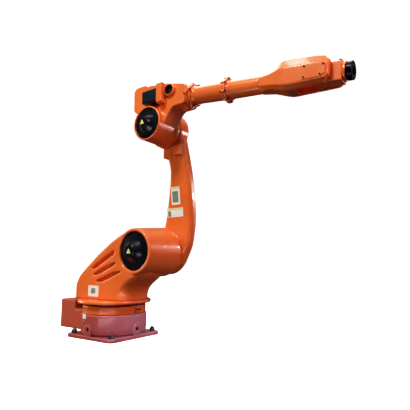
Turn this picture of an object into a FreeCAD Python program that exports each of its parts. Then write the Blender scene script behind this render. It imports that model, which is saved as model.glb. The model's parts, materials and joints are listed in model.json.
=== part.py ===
import FreeCAD, Part
import os
import Sketcher
from FreeCAD import Placement, Rotation, Vector

# Six-axis industrial robot arm on a square pedestal. Millimetres, +Z up, +X towards the
# tool. The origin is the centre of the pedestal's underside, on the slewing axis.

SIZES = [
    # pedestal
    ("base_side", 500), ("base_plate_t", 25), ("base_corner_r", 40),
    ("anchor_pitch", 410), ("anchor_hole_r", 13),
    ("bowl_r", 245), ("bowl_foot_r", 226), ("bowl_top_z", 172),
    ("fixed_ring_r", 237), ("fixed_ring_top_z", 236), ("bearing_r", 215),
    ("lug_w", 72), ("lug_top_z", 106), ("lug_depth", 46), ("lug_hole_r", 13),
    ("box_w", 300), ("box_back_x", 467), ("box_front_x", 285), ("box_low_z", 42),
    ("box_top_z", 261), ("box_neck_top_z", 190),
    ("box_wall_r", 12), ("panel_t", 6), ("socket_r", 30), ("socket_len", 22),
    # turret
    ("slew_gap", 12), ("seat_gap", 0.3), ("lip_r", 277), ("lip_t", 26),
    ("turret_w", 300), ("turret_rear_x", 290), ("turret_front_x", 265),
    ("turret_front_r", 110), ("turret_edge", 14), ("rib_pocket_t", 32),
    ("shoulder_x", 336), ("shoulder_z", 628), ("drum_r", 162), ("drum_far_r", 186),
    ("shoulder_face_y", 150), ("drum_far_y", 172), ("drum_wall", 22),
    ("cover_recess", 14), ("cover_gap", 1), ("cover_boss_r", 58), ("cover_boss_out", 32),
    # lower arm
    ("arm_gap", 6), ("hub_r", 172), ("hub_t", 108), ("head_r", 141), ("head_t", 98),
    ("arm_t", 88), ("arm_set", 7), ("arm_edge", 22), ("arm_boss_out", 24),
    # elbow
    ("elbow_x", 418), ("elbow_z", 1560), ("elbow_face_y", 128), ("elbow_wall", 11),
    ("elbow_drum_r", 128), ("elbow_far_r", 138), ("elbow_far_y", 100),
    ("elbow_recess", 14), ("elbow_boss_r", 52), ("elbow_boss_out", 34),
    ("neck_w", 156), ("rear_cover_in", 22), ("rear_cover_w", 122), ("rear_cover_r", 42),
    ("motor_w", 100), ("motor_len", 142), ("motor_out", 128), ("motor_up", 201),
    ("mount_t", 50), ("mount_w", 150), ("mount_up", 205), ("bay_in", 22), ("bay_up", 130),
    ("bushing_r", 44), ("bushing_bore_r", 33), ("bushing_len", 22), ("bushing_up", 219),
    ("mount_at", 94), ("cover_front", 118), ("cover_len", 124), ("cover_low", 150), ("cover_top", 361),
    # forearm, measured along its own axis from the foot of the elbow axis
    ("forearm_offset", 203.5), ("forearm_dip", 6.7),
    ("nose_end", 318), ("nose_r", 80), ("nose_t", 20), ("forearm_gap", 6),
    ("flange_ring_t", 14), ("tube_r", 61.5), ("tube_end_r", 57.5),
    ("joint_at", 615), ("joint_r", 78), ("joint_t", 12),
    ("ear_r", 14), ("ear_at_r", 80), ("joint_ear_r", 10), ("joint_ear_at_r", 76),
    ("wrist_len", 376), ("wrist_w", 188), ("wrist_top", 101), ("wrist_low", 83),
    ("near_arm_end", 75), ("far_arm_end", 108), ("fork_gap", 104), ("fork_slot_back", 132),
    ("side_cover_t", 3), ("bottom_cover_t", 4),
    # wrist, measured along the same axis from the wrist pivot
    ("wrist_pivot", 1245), ("pivot_gap", 6), ("tilt_r", 66), ("pivot_boss_r", 34),
    ("tilt_neck_low", 60), ("tilt_neck_top", 54), ("tilt_neck_end", 138),
    ("wrist_nose_r", 56), ("wrist_nose_end", 154), ("tool_gap", 3), ("tool_r", 53),
    ("tool_face", 188), ("tool_bore_r", 25), ("tool_bore_depth", 8), ("tool_pitch_r", 40),
    ("tool_hole_r", 4), ("tool_hole_depth", 14),
]

doc = FreeCAD.newDocument("RobotArm")
dims = doc.addObject("Spreadsheet::Sheet", "Dims")
for row, (alias, number) in enumerate(SIZES, start=1):
    dims.set("A%d" % row, alias)
    dims.set("B%d" % row, str(number))
    dims.setAlias("B%d" % row, alias)
doc.recompute()

NAMES = sorted([alias for alias, number in SIZES], key=len, reverse=True)


def bound(text):
    """Turn sheet names in a formula into references to the sheet."""
    out = []
    word = ""
    for char in str(text) + " ":
        if char.isalnum() or char == "_" or (char == "." and word[:1].isdigit()):
            word = word + char
            continue
        out.append("Dims." + word if word in NAMES else word)
        out.append(char)
        word = ""
    return "".join(out).strip()


def value(text):
    """The number that a formula of sheet names gives."""
    return float(dims.evalExpression(bound(text)))


X_WAY = Vector(1, 0, 0)
Y_WAY = Vector(0, 1, 0)
Z_WAY = Vector(0, 0, 1)
FOOT_X = "elbow_x + forearm_offset * sin(forearm_dip)"
FOOT_Z = "elbow_z + forearm_offset * cos(forearm_dip)"
# Each place is: x, y, z, turn axis, turn angle.
WORLD = ("0", "0", "0", (0, 0, 1), "0")
SHOULDER = ("shoulder_x", "0", "shoulder_z", (1, 0, 0), "-90")
ELBOW = ("elbow_x", "0", "elbow_z", (1, 0, 0), "-90")
FOREARM = (FOOT_X, "0", FOOT_Z, (0, 1, 0), "forearm_dip")


def on_forearm(along_axis, across, up):
    """World position formulas of a point given in the forearm's own directions."""
    x = FOOT_X + " + (%s)*cos(forearm_dip) + (%s)*sin(forearm_dip)" % (along_axis, up)
    z = FOOT_Z + " - (%s)*sin(forearm_dip) + (%s)*cos(forearm_dip)" % (along_axis, up)
    return x, across, z


def tilted(along_axis, across, up):
    """A place turned with the forearm."""
    return on_forearm(along_axis, across, up) + ((0, 1, 0), "forearm_dip")


def sideways(along_axis, across):
    """A place on the forearm axis with its Z along +Y."""
    return on_forearm(along_axis, across, "0") + ((1, 0, 0), "-90")


def put(obj, place):
    """Set an object's placement from formulas."""
    x, y, z, axis, angle = place
    obj.Placement = Placement(
        Vector(value(x), value(y), value(z)), Rotation(Vector(*axis), value(angle)))
    obj.setExpression("Placement.Base.x", bound(x))
    obj.setExpression("Placement.Base.y", bound(y))
    obj.setExpression("Placement.Base.z", bound(z))
    obj.setExpression("Placement.Rotation.Angle", bound(angle))
    return obj


def plane_of(body, role):
    """One of a body's own origin planes or axes."""
    for feature in body.Origin.OriginFeatures:
        if feature.Role == role:
            return feature
    return None


def sketch_on(body, role, offset="0"):
    """An empty sketch on one of the body's origin planes, shifted along its normal."""
    sketch = body.newObject("Sketcher::SketchObject", body.Label + "_sketch")
    sketch.AttachmentSupport = [(plane_of(body, role), "")]
    sketch.MapMode = "FlatFace"
    sketch.AttachmentOffset = Placement(Vector(0, 0, value(offset)), Rotation())
    sketch.setExpression("AttachmentOffset.Base.z", bound(offset))
    return sketch


def fix_point(sketch, geo, pos, x, y):
    """Hold one sketch point at the place two formulas give."""
    for kind, text in (("DistanceX", x), ("DistanceY", y)):
        number = value(text)
        if abs(number) < 1e-9 and text == "0":
            on_axis = -2 if kind == "DistanceX" else -1
            sketch.addConstraint(Sketcher.Constraint("PointOnObject", geo, pos, on_axis))
            continue
        index = sketch.addConstraint(Sketcher.Constraint(kind, -1, 1, geo, pos, number))
        sketch.setExpression("Constraints[%d]" % index, bound(text))


def outline(sketch, points):
    """A closed outline of straight lines through points given as formulas."""
    spots = [Vector(value(x), value(y), 0) for x, y in points]
    count = len(spots)
    first = sketch.GeometryCount
    for i in range(count):
        sketch.addGeometry(Part.LineSegment(spots[i], spots[(i + 1) % count]), False)
    for i in range(count):
        after = first + (i + 1) % count
        sketch.addConstraint(Sketcher.Constraint("Coincident", first + i, 2, after, 1))
    for i, (x, y) in enumerate(points):
        fix_point(sketch, first + i, 1, x, y)


def circle(sketch, x, y, radius):
    """A circle given by formulas."""
    centre = Vector(value(x), value(y), 0)
    geo = sketch.addGeometry(
        Part.Circle(centre, Vector(0, 0, 1), value(radius)), False)
    fix_point(sketch, geo, 3, x, y)
    index = sketch.addConstraint(Sketcher.Constraint("Radius", geo, value(radius)))
    sketch.setExpression("Constraints[%d]" % index, bound(radius))


def new_body(label, place):
    body = doc.addObject("PartDesign::Body", label)
    body.Label = label
    put(body, place)
    return body


def turned(label, place, points, axis="V_Axis"):
    """A piece of revolution: the outline is (radius, height) about the body's Z,
    or (length, radius) about its X."""
    body = new_body(label, place)
    sketch = sketch_on(body, "XZ_Plane")
    outline(sketch, points)
    spin = body.newObject("PartDesign::Revolution", label + "_turn")
    spin.Profile = sketch
    spin.ReferenceAxis = (sketch, [axis])
    spin.Angle = 360
    body.Tip = spin
    return body


def padded(label, place, role, points, length, offset="0", midplane=False, holes=()):
    """A plate or block: an outline with round holes, given its thickness."""
    body = new_body(label, place)
    sketch = sketch_on(body, role, offset)
    outline(sketch, points)
    for x, y, radius in holes:
        circle(sketch, x, y, radius)
    pad = body.newObject("PartDesign::Pad", label + "_pad")
    pad.Profile = sketch
    pad.Length = value(length)
    pad.setExpression("Length", bound(length))
    pad.Midplane = midplane
    body.Tip = pad
    return body


def rounded(body, radius, choose):
    """Round the edges of the body's last feature that a test picks."""
    doc.recompute()
    last = body.Tip
    picked = []
    for i, edge in enumerate(last.Shape.Edges, start=1):
        if choose(edge):
            picked.append("Edge%d" % i)
    fillet = body.newObject("PartDesign::Fillet", body.Label + "_round")
    fillet.Base = (last, picked)
    fillet.Radius = value(radius)
    fillet.setExpression("Radius", bound(radius))
    body.Tip = fillet
    return body


def along(axis):
    """A test for straight edges along one direction."""
    def test(edge):
        if edge.Curve.TypeId != "Part::GeomLine":
            return False
        return abs(abs(edge.Curve.Direction.dot(axis)) - 1) < 1e-6
    return test


def at_level(axis, normal, *levels):
    """A test for straight edges along one direction, at given levels along another."""
    def test(edge):
        place = edge.CenterOfMass.dot(normal)
        near = [abs(place - value(level)) < 0.01 for level in levels]
        return along(axis)(edge) and any(near)
    return test


def at_side(axis, reach):
    """A test for straight edges along one direction that lie out past a reach."""
    def test(edge):
        middle = edge.CenterOfMass
        return along(axis)(edge) and max(abs(middle.x), abs(middle.y)) > value(reach)
    return test


def cylinder(name, place, radius, length):
    """A plain cylinder along the place's Z axis."""
    obj = doc.addObject("Part::Cylinder", name)
    obj.Radius = value(radius)
    obj.Height = value(length)
    obj.setExpression("Radius", bound(radius))
    obj.setExpression("Height", bound(length))
    return put(obj, place)


def block(name, place, size_x, size_y, size_z):
    """A plain box from its low corner."""
    obj = doc.addObject("Part::Box", name)
    for prop, text in (("Length", size_x), ("Width", size_y), ("Height", size_z)):
        setattr(obj, prop, value(text))
        obj.setExpression(prop, bound(text))
    return put(obj, place)


def joined(label, pieces):
    obj = doc.addObject("Part::MultiFuse", label)
    obj.Label = label
    obj.Shapes = pieces
    obj.Refine = True
    return obj


def cut(label, base, tool):
    obj = doc.addObject("Part::Cut", label)
    obj.Label = label
    obj.Base = base
    obj.Tool = tool
    obj.Refine = True
    return obj


def common(label, pieces):
    obj = doc.addObject("Part::MultiCommon", label)
    obj.Label = label
    obj.Shapes = pieces
    obj.Refine = True
    return obj


def lofted(label, place, role, sections, ruled=True):
    """A body through sections, each an offset and an outline."""
    body = new_body(label, place)
    sketches = []
    for offset, points in sections:
        sketch = sketch_on(body, role, offset)
        outline(sketch, points)
        sketches.append(sketch)
    loft = body.newObject("PartDesign::AdditiveLoft", label + "_loft")
    loft.Profile = sketches[0]
    loft.Sections = sketches[1:]
    loft.Ruled = ruled
    body.Tip = loft
    return body


def eight(x_low, x_high, y_low, y_high, edge):
    """A rectangle with cut corners, as formulas."""
    xa, xb = "(%s)" % x_low, "(%s)" % x_high
    ya, yb = "(%s)" % y_low, "(%s)" % y_high
    return [
        (xa + "+" + edge, ya), (xb + "-" + edge, ya),
        (xb, ya + "+" + edge), (xb, yb + "-" + edge),
        (xb + "-" + edge, yb), (xa + "+" + edge, yb),
        (xa, yb + "-" + edge), (xa, ya + "+" + edge)]


NODES = []


def keep(obj):
    NODES.append(obj)
    return obj


# --- pedestal -------------------------------------------------------------------------
HALF = "base_side/2"
PITCH = "anchor_pitch/2"
square = [("-base_side/2", "-base_side/2"), (HALF, "-base_side/2"),
          (HALF, HALF), ("-base_side/2", HALF)]
corners = [(a + PITCH, b + PITCH, "anchor_hole_r") for a in ("", "-") for b in ("", "-")]
plate = padded("base_plate", WORLD, "XY_Plane", square, "base_plate_t", holes=corners)
keep(rounded(plate, "base_corner_r", at_side(Z_WAY, "base_side/2 - 1")))

keep(turned("base_casting", WORLD, [
    ("0", "base_plate_t"), ("bowl_foot_r", "base_plate_t"),
    ("bowl_foot_r + (bowl_r - bowl_foot_r)*0.75", "base_plate_t + 14"),
    ("bowl_r", "base_plate_t + 40"), ("bowl_r", "bowl_top_z"), ("0", "bowl_top_z")]))

keep(turned("fixed_ring", WORLD, [
    ("0", "bowl_top_z"), ("fixed_ring_r - 4", "bowl_top_z"),
    ("fixed_ring_r", "bowl_top_z + 4"), ("fixed_ring_r", "fixed_ring_top_z - 6"),
    ("fixed_ring_r - 6", "fixed_ring_top_z"), ("0", "fixed_ring_top_z")]))

SLEW_Z = "fixed_ring_top_z + slew_gap"
keep(turned("slewing_bearing", WORLD, [
    ("0", "fixed_ring_top_z"), ("bearing_r", "fixed_ring_top_z"),
    ("bearing_r", SLEW_Z + " - seat_gap"), ("0", SLEW_Z + " - seat_gap")]))

LUG_TURNS = (0, 90, 270)
LUG_EYE_Z = "lug_top_z - lug_w/2"
lugs = []
for i, turn in enumerate(LUG_TURNS):
    front = ("base_side/2 - lug_depth", "0", LUG_EYE_Z, (0, 1, 0), "90")
    foot = block("lug_foot_%d" % i, ("base_side/2 - lug_depth", "-lug_w/2", "base_plate_t",
                 (0, 0, 1), "0"), "lug_depth", "lug_w", LUG_EYE_Z + " - base_plate_t")
    arch = cylinder("lug_arch_%d" % i, front, "lug_w/2", "lug_depth")
    eye = cylinder("lug_eye_%d" % i, front, "lug_hole_r", "lug_depth")
    core = cylinder("lug_core_%d" % i, WORLD, "bowl_r", "bowl_top_z")
    lug_blank = joined("lug_blank_%d" % i, [foot, arch])
    solid = cut("lug_%d" % i, lug_blank, joined("lug_tool_%d" % i, [eye, core]))
    spun = doc.addObject("Part::Feature", "lug_turned_%d" % i)
    doc.recompute()
    spun.Shape = solid.Shape.copy()
    spun.Placement = Placement(Vector(0, 0, 0), Rotation(Z_WAY, turn))
    lugs.append(spun)
lug_set = doc.addObject("Part::Compound", "base_lugs")
lug_set.Label = "base_lugs"
lug_set.Links = lugs
keep(lug_set)

# --- rear connector box ---------------------------------------------------------------
box_side = [
    ("-box_back_x", "box_low_z"), ("-bowl_r*0.6", "box_low_z"),
    ("-bowl_r*0.6", "box_neck_top_z"), ("-box_front_x", "box_neck_top_z"),
    ("-box_front_x", "box_top_z"), ("-box_back_x", "box_top_z")]
blank = padded("box_blank", WORLD, "XZ_Plane", box_side, "box_w", midplane=True)
rounded(blank, "box_wall_r", at_level(Z_WAY, X_WAY, "-box_back_x"))
core = cylinder("box_core", WORLD, "bowl_r + seat_gap", "box_top_z + 1")
keep(cut("connector_box", blank, core))
keep(padded("connector_panel", WORLD, "YZ_Plane", [
    ("-box_w/2 + 24", "box_low_z + 20"), ("box_w/2 - 24", "box_low_z + 20"),
    ("box_w/2 - 24", "box_top_z - 20"), ("-box_w/2 + 24", "box_top_z - 20")],
    "panel_t", offset="-box_back_x - panel_t"))
sockets = []
for i, at in enumerate(("-box_w*0.25", "0", "box_w*0.25")):
    sockets.append(cylinder("socket_%d" % i, (
        "-box_back_x - panel_t - socket_len", at, "(box_low_z + box_top_z)/2",
        (0, 1, 0), "90"), "socket_r", "socket_len"))
socket_set = doc.addObject("Part::Compound", "connector_sockets")
socket_set.Label = "connector_sockets"
socket_set.Links = sockets
keep(socket_set)

# --- turret ---------------------------------------------------------------------------
LIP_TOP = "fixed_ring_top_z + slew_gap + lip_t"
keep(turned("turret_lip", WORLD, [
    ("0", SLEW_Z), ("lip_r - 5", SLEW_Z), ("lip_r", SLEW_Z + " + 5"),
    ("lip_r", LIP_TOP + " - 8"), ("lip_r - 8", LIP_TOP), ("0", LIP_TOP)]))

side = [
    ("-turret_rear_x", LIP_TOP), ("-turret_rear_x", "shoulder_z - 265"),
    ("-turret_rear_x + 16", "shoulder_z - 224"), ("-turret_rear_x + 50", "shoulder_z - 173"),
    ("shoulder_x - 497", "shoulder_z - 111"), ("shoulder_x - 373", "shoulder_z - 20"),
    ("shoulder_x - 234", "shoulder_z + 67"), ("shoulder_x - 122", "shoulder_z + 121"),
    ("shoulder_x - 55", "shoulder_z + 147"), ("shoulder_x", "shoulder_z + drum_r - 4"),
    ("shoulder_x + 60", "shoulder_z + 60"), ("shoulder_x + 60", "shoulder_z - 60"),
    ("shoulder_x - 41", "shoulder_z - 154"), ("turret_front_x - turret_front_r", LIP_TOP)]
web = padded("turret_web", WORLD, "XZ_Plane", side, "turret_w", midplane=True)
rounded(web, "turret_edge", at_side(Z_WAY, "turret_rear_x - 1"))


def round_fronted(body, level, front):
    """A level of the turret's neck: straight sides and a front with round corners."""
    sketch = sketch_on(body, "XY_Plane", level)
    half = "turret_w/2"
    corner = "(%s) - turret_front_r" % front
    flat = half + " - turret_front_r"
    spots = [("-turret_front_x/2", "-" + half), (corner, "-" + half), (front, "-(%s)" % flat),
             (front, flat), (corner, half), ("-turret_front_x/2", half)]
    knots = [Vector(value(x), value(y), 0) for x, y in spots]
    lean = value("turret_front_r") * (1 - 0.5 ** 0.5)
    for i in range(6):
        start, end = knots[i], knots[(i + 1) % 6]
        if i not in (1, 3):
            sketch.addGeometry(Part.LineSegment(start, end), False)
            continue
        side_way = -1 if i == 1 else 1
        bend = Vector(value(front) - lean, side_way * (value(half) - lean), 0)
        sketch.addGeometry(Part.Arc(start, bend, end), False)
    for i in range(6):
        first, last = i, (i + 1) % 6
        sketch.addConstraint(Sketcher.Constraint("Coincident", first, 2, last, 1))
    for i, (x, y) in enumerate(spots):
        fix_point(sketch, i, 1, x, y)
    for i in (1, 3):
        index = sketch.addConstraint(Sketcher.Constraint("Radius", i, value("turret_front_r")))
        sketch.setExpression("Constraints[%d]" % index, bound("turret_front_r"))
    return sketch


neck_body = new_body("turret_neck", WORLD)
levels = [(LIP_TOP, "turret_front_x"), ("shoulder_z - 326", "turret_front_x + 1"),
          ("shoulder_z - 294", "turret_front_x + 7"), ("shoulder_z - 268", "turret_front_x + 22"),
          ("shoulder_z - 240", "turret_front_x + 50"), ("shoulder_z - 214", "turret_front_x + 86"),
          ("shoulder_z - 172", "turret_front_x + 138"), ("shoulder_z - 120", "turret_front_x + 168")]
slices = [round_fronted(neck_body, level, front) for level, front in levels]
neck_loft = neck_body.newObject("PartDesign::AdditiveLoft", "turret_neck_loft")
neck_loft.Profile = slices[0]
neck_loft.Sections = slices[1:]
neck_body.Tip = neck_loft

# Corners of the slanting pockets, right of and above the shoulder axis.
POCKETS = [
    [(-462, -134), (-390, -88), (-301, -39), (-226, -6), (-188, 8), (-200, -24), (-235, -42),
     (-300, -75), (-377, -116)],
    [(-444, -181), (-342, -129), (-254, -98), (-176, -76), (-176, -90), (-210, -108), (-274, -134),
     (-340, -164)],
    [(-428, -229), (-338, -198), (-272, -175), (-208, -153), (-121, -141), (-121, -150),
     (-175, -172), (-249, -199), (-314, -221)],
]
pockets = []
for i, spots in enumerate(POCKETS):
    points = [("shoulder_x + (%d)" % x, "shoulder_z + (%d)" % z) for x, z in spots]
    for j, out in enumerate(("turret_w/2 - rib_pocket_t", "-turret_w/2 - 1")):
        pockets.append(padded("rib_pocket_%d_%d" % (i, j), WORLD, "XZ_Plane", points,
                              "rib_pocket_t + 1", offset=out))
drum = turned("shoulder_drum_blank", SHOULDER, [
    ("0", "-shoulder_face_y + cover_recess + 20"),
    ("drum_r - drum_wall", "-shoulder_face_y + cover_recess + 20"),
    ("drum_r - drum_wall", "-shoulder_face_y"), ("drum_r - 3", "-shoulder_face_y"),
    ("drum_r", "-shoulder_face_y + 4"), ("drum_far_r", "drum_far_y - 16"),
    ("drum_far_r - 4", "drum_far_y"), ("0", "drum_far_y")])
well = cylinder("shoulder_well", ("shoulder_x", "-shoulder_face_y", "shoulder_z",
                (1, 0, 0), "-90"), "drum_r - drum_wall", "cover_recess + 20")
shoulder_rooms = joined("shoulder_rooms", [well] + pockets)
web_open = cut("turret_web_open", joined("turret_web_neck", [web, neck_body]), shoulder_rooms)
keep(joined("turret_casting", [web_open, drum]))
keep(turned("shoulder_motor_cover", SHOULDER, [
    ("0", "-shoulder_face_y + cover_recess + 20"),
    ("drum_r - drum_wall - cover_gap", "-shoulder_face_y + cover_recess + 20"),
    ("drum_r - drum_wall - cover_gap", "-shoulder_face_y + cover_recess + 4"),
    ("drum_r - drum_wall - cover_gap - 4", "-shoulder_face_y + cover_recess"),
    ("cover_boss_r + 24", "-shoulder_face_y + cover_recess - 6"),
    ("cover_boss_r", "-shoulder_face_y - cover_boss_out*0.5"),
    ("cover_boss_r - 12", "-shoulder_face_y - cover_boss_out"),
    ("0", "-shoulder_face_y - cover_boss_out")]))

# --- lower arm ------------------------------------------------------------------------
HUB_Y = "drum_far_y + arm_gap"
HEAD_Y = "elbow_far_y + arm_gap"
RISE = "elbow_z - shoulder_z"


def arm_section(part_way, leaned, x_low, x_high):
    """A section of the lower arm at a share of its rise, leaned inwards by a share.
    It is set back a little from the faces of the hub and the head."""
    inner = "(%s) + arm_set + ((%s) - (%s)) * %s" % (HUB_Y, HEAD_Y, HUB_Y, leaned)
    height = "shoulder_z + (%s) * %s" % (RISE, part_way)
    line = "shoulder_x + (elbow_x - shoulder_x) * %s" % part_way
    low = "%s + (%s)" % (line, x_low)
    high = "%s + (%s)" % (line, x_high)
    return (height, eight(low, high, inner, "%s + arm_t" % inner, "arm_edge"))


arm_web = lofted("arm_web", WORLD, "XY_Plane", [
    arm_section("-0.13", "0", "-100", "124"), arm_section("-0.07", "0", "-124", "180"),
    arm_section("0", "0", "-130", "209"), arm_section("0.05", "0", "-112", "225"),
    arm_section("0.11", "0", "-72", "232"),
    arm_section("0.205", "0", "-34", "238"), arm_section("0.34", "0.2", "-6", "240"),
    arm_section("0.48", "0.42", "13", "228"), arm_section("0.62", "0.64", "25", "212"),
    arm_section("0.74", "0.83", "12", "190"), arm_section("0.85", "1", "-40", "168"),
    arm_section("0.93", "1", "-84", "144"), arm_section("1.0", "1", "-118", "124")],
    ruled=False)
hub = turned("arm_hub", SHOULDER, [
    ("0", HUB_Y), ("hub_r", HUB_Y), ("hub_r", HUB_Y + " + hub_t - arm_edge"),
    ("hub_r - arm_edge", HUB_Y + " + hub_t"), ("0", HUB_Y + " + hub_t")])
head = cylinder("arm_head", ("elbow_x", HEAD_Y, "elbow_z", (1, 0, 0), "-90"),
                "head_r", "head_t")
BOSS_Y = "(%s) + arm_set - arm_boss_out" % HEAD_Y
boss = block("arm_boss", ("elbow_x + 72", BOSS_Y, "elbow_z - 208", (0, 0, 1), "0"),
             "72", "arm_boss_out + 20", "76")
stop = block("arm_stop_block", ("elbow_x - 38", "(%s) + arm_set - 4" % HEAD_Y, "elbow_z - 214",
             (0, 0, 1), "0"), "80", "60", "80")
keep(joined("lower_arm", [arm_web, hub, head, boss, stop]))
keep(cylinder("shoulder_spigot", ("shoulder_x", "drum_far_y + seat_gap", "shoulder_z",
              (1, 0, 0), "-90"), "hub_r - 28", "arm_gap - seat_gap"))
keep(cylinder("elbow_spigot", ("elbow_x", "elbow_far_y + seat_gap", "elbow_z",
              (1, 0, 0), "-90"), "head_r - 26", "arm_gap - seat_gap"))

# --- elbow ----------------------------------------------------------------------------
elbow_drum = turned("elbow_drum_blank", ELBOW, [
    ("0", "-elbow_face_y + elbow_recess + 20"),
    ("elbow_drum_r - elbow_wall", "-elbow_face_y + elbow_recess + 20"),
    ("elbow_drum_r - elbow_wall", "-elbow_face_y"), ("elbow_drum_r - 2", "-elbow_face_y"),
    ("elbow_drum_r", "-elbow_face_y + 3"), ("elbow_drum_r", "elbow_far_y - 60"),
    ("elbow_far_r", "elbow_far_y - 20"), ("elbow_far_r", "elbow_far_y"),
    ("0", "elbow_far_y")])
NOSE_TOP = on_forearm("nose_end - nose_t", "0", "nose_r - 10")[::2]
NOSE_LOW = on_forearm("nose_end - nose_t", "0", "10 - nose_r")[::2]
neck_side = [
    ("elbow_x - 100", "elbow_z"), ("elbow_x - cover_front", "elbow_z + 100"),
    ("elbow_x - cover_front", "elbow_z + 330"), ("elbow_x - 73", "elbow_z + 345"),
    ("elbow_x + 20", "elbow_z + 330"), ("elbow_x + 82", "elbow_z + 304"),
    ("elbow_x + 180", "elbow_z + 277"), NOSE_TOP, NOSE_LOW,
    ("elbow_x + 215", "elbow_z + 97"),
    ("elbow_x + 190", "elbow_z + 82"), ("elbow_x + 168", "elbow_z + 50"),
    ("elbow_x + 126", "elbow_z - 20"), ("elbow_x", "elbow_z - 60")]
neck = padded("elbow_neck", WORLD, "XZ_Plane", neck_side, "neck_w", midplane=True)
rounded(neck, "22", along(Y_WAY))
well2 = cylinder("elbow_well", ("elbow_x", "-elbow_face_y", "elbow_z",
                 (1, 0, 0), "-90"), "elbow_drum_r - elbow_wall", "elbow_recess + 20")
MOTOR_FRONT = "elbow_x + mount_at"
bay = block("motor_bay", ("elbow_x - 260", "-neck_w", "elbow_z + bay_up", (0, 0, 1), "0"),
            "260 + mount_at + mount_t", "neck_w - bay_in", "400")
neck_open = cut("elbow_neck_open", neck, joined("neck_rooms", [well2, bay]))
keep(joined("elbow_casting", [neck_open, elbow_drum]))
keep(turned("elbow_motor_cover", ELBOW, [
    ("0", "-elbow_face_y + elbow_recess + 20"),
    ("elbow_drum_r - elbow_wall - cover_gap", "-elbow_face_y + elbow_recess + 20"),
    ("elbow_drum_r - elbow_wall - cover_gap", "-elbow_face_y + elbow_recess + 4"),
    ("elbow_drum_r - elbow_wall - cover_gap - 4", "-elbow_face_y + elbow_recess"),
    ("elbow_boss_r + 20", "-elbow_face_y + elbow_recess - 6"),
    ("elbow_boss_r", "-elbow_face_y - elbow_boss_out*0.5"),
    ("elbow_boss_r - 10", "-elbow_face_y - elbow_boss_out"),
    ("0", "-elbow_face_y - elbow_boss_out")]))

COVER_RIGHT = "elbow_x - cover_front"
COVER_LEFT = "elbow_x - cover_front - cover_len"
rear = padded("rear_cover", WORLD, "XZ_Plane", [
    (COVER_LEFT, "elbow_z + cover_low"), (COVER_RIGHT, "elbow_z + cover_low"),
    (COVER_RIGHT, "elbow_z + cover_top"), (COVER_LEFT, "elbow_z + cover_top")],
    "rear_cover_w", offset="rear_cover_in - rear_cover_w")
keep(rounded(rear, "rear_cover_r", at_level(Y_WAY, X_WAY, COVER_LEFT)))

motor = padded("wrist_motor", WORLD, "YZ_Plane", [
    ("-motor_out", "elbow_z + motor_up - motor_w/2"),
    ("-motor_out + motor_w", "elbow_z + motor_up - motor_w/2"),
    ("-motor_out + motor_w", "elbow_z + motor_up + motor_w/2"),
    ("-motor_out", "elbow_z + motor_up + motor_w/2")],
    "motor_len", offset=MOTOR_FRONT + " - motor_len")
keep(rounded(motor, "12", along(X_WAY)))
mount = padded("motor_mount", WORLD, "YZ_Plane", [
    ("-motor_out - 4", "elbow_z + mount_up - mount_w/2"),
    ("-bay_in", "elbow_z + mount_up - mount_w/2"),
    ("-bay_in", "elbow_z + mount_up + mount_w/2"),
    ("-motor_out - 4", "elbow_z + mount_up + mount_w/2")],
    "mount_t", offset=MOTOR_FRONT)
keep(rounded(mount, "14", at_level(X_WAY, Y_WAY, "-motor_out - 4")))
BUSHING_X = "elbow_x + mount_at + mount_t + bushing_r + 0.5"
bushing = cylinder("bushing_blank", (
    BUSHING_X, "-neck_w/2 - bushing_len", "elbow_z + bushing_up", (1, 0, 0), "-90"),
    "bushing_r", "bushing_len")
bushing_bore = cylinder("bushing_bore", (
    BUSHING_X, "-neck_w/2 - bushing_len - 1", "elbow_z + bushing_up", (1, 0, 0), "-90"),
    "bushing_bore_r", "bushing_len")
keep(cut("cable_bushing", bushing, bushing_bore))


def eared(label, disc, start, length, at_r, radius, turns):
    """A ring's disc with round ears for its bolts, each turned from the top of the ring."""
    shapes = [disc]
    for i, turn in enumerate(turns):
        spot = on_forearm(start, "(%s)*sin(%d)" % (at_r, turn), "(%s)*cos(%d)" % (at_r, turn))
        shapes.append(cylinder("%s_ear_%d" % (label, i), spot + ((0, 1, 0), "90 + forearm_dip"),
                               radius, length))
    return joined(label, shapes)


nose_disc = turned("elbow_nose_disc", FOREARM, [
    ("nose_end - nose_t", "0"), ("nose_end - nose_t", "nose_r"),
    ("nose_end - 3", "nose_r"), ("nose_end", "nose_r - 3"), ("nose_end", "0")],
    axis="H_Axis")
keep(eared("elbow_nose_ring", nose_disc, "nose_end - nose_t", "nose_t - 2", "ear_at_r",
           "ear_r", (-8, 172, 90, 270)))

# --- forearm --------------------------------------------------------------------------
FLANGE_S = "nose_end + forearm_gap"
keep(turned("forearm_bearing", FOREARM, [
    ("nose_end + seat_gap", "0"), ("nose_end + seat_gap", "tube_r"),
    (FLANGE_S, "tube_r"), (FLANGE_S, "0")], axis="H_Axis"))
flange_disc = turned("forearm_flange_disc", FOREARM, [
    (FLANGE_S, "0"), (FLANGE_S, "nose_r - 3"), (FLANGE_S + " + 3", "nose_r"),
    (FLANGE_S + " + flange_ring_t", "nose_r"), (FLANGE_S + " + flange_ring_t", "0")],
    axis="H_Axis")
keep(eared("forearm_flange", flange_disc, FLANGE_S + " + 1", "flange_ring_t - 1", "ear_at_r",
           "ear_r", (14, 194, 104, 284)))
keep(turned("rear_tube", FOREARM, [
    (FLANGE_S + " + flange_ring_t", "0"), (FLANGE_S + " + flange_ring_t", "tube_r + 8"),
    (FLANGE_S + " + flange_ring_t + 18", "tube_r"), ("joint_at - joint_t - 10", "tube_r"),
    ("joint_at - joint_t", "tube_r + 6"), ("joint_at - joint_t", "0")], axis="H_Axis"))
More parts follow.
